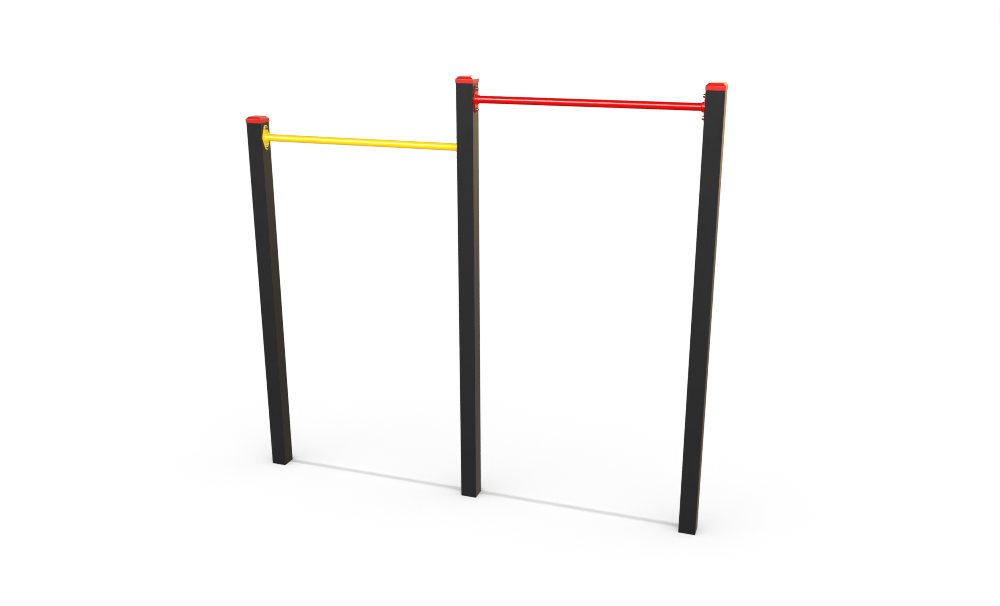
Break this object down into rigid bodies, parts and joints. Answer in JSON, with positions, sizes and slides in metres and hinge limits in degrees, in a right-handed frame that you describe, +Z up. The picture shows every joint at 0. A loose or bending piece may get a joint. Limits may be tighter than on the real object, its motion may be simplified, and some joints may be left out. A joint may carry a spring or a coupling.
{
  "type": "outdoor horizontal bar station",
  "caption": "Outdoor pull-up station: square posts in one line hold a lower yellow and a higher red horizontal bar on bolted flange plates, under bevelled red caps.",
  "frame": {"origin": "on the ground at the centre of the middle post's foot, which is also the centre of the whole footprint", "axes": "+X along both bars from the low bay to the high bay, +Y across the line of posts, +Z up"},
  "size_m": [2.906, 0.106, 2.647],
  "materials": {
    "post_coat": "satin anthracite powder coat on steel",
    "yellow_coat": "gloss signal yellow powder coat on steel",
    "red_coat": "gloss signal red powder coat on steel",
    "cap_plastic": "semi-gloss moulded red plastic",
    "fastener_steel": "bright stainless steel",
    "zinc_steel": "dull hot-dip galvanised steel"
  },
  "bodies": {
    "root": {"post_left": "post_coat", "foot_plate_left": "zinc_steel", "cap_left": "cap_plastic", "post_middle": "post_coat", "foot_plate_middle": "zinc_steel", "cap_middle": "cap_plastic", "post_right": "post_coat", "foot_plate_right": "zinc_steel", "cap_right": "cap_plastic", "low_bar": "yellow_coat", "flange_plate_low_left": "yellow_coat", "collar_low_left": "yellow_coat", "nut_plate_low_left": "zinc_steel", "washer_low_left_upper": "fastener_steel", "bolt_low_left_upper": "fastener_steel", "washer_low_left_lower": "fastener_steel", "bolt_low_left_lower": "fastener_steel", "flange_plate_low_right": "yellow_coat", "collar_low_right": "yellow_coat", "nut_plate_low_right": "zinc_steel", "washer_low_right_upper": "fastener_steel", "bolt_low_right_upper": "fastener_steel", "washer_low_right_lower": "fastener_steel", "bolt_low_right_lower": "fastener_steel", "high_bar": "red_coat", "flange_plate_high_left": "red_coat", "collar_high_left": "red_coat", "nut_plate_high_left": "zinc_steel", "washer_high_left_upper": "fastener_steel", "bolt_high_left_upper": "fastener_steel", "washer_high_left_lower": "fastener_steel", "bolt_high_left_lower": "fastener_steel", "flange_plate_high_right": "red_coat", "collar_high_right": "red_coat", "nut_plate_high_right": "zinc_steel", "washer_high_right_upper": "fastener_steel", "bolt_high_right_upper": "fastener_steel", "washer_high_right_lower": "fastener_steel", "bolt_high_right_lower": "fastener_steel"}
  },
  "joints": []
}
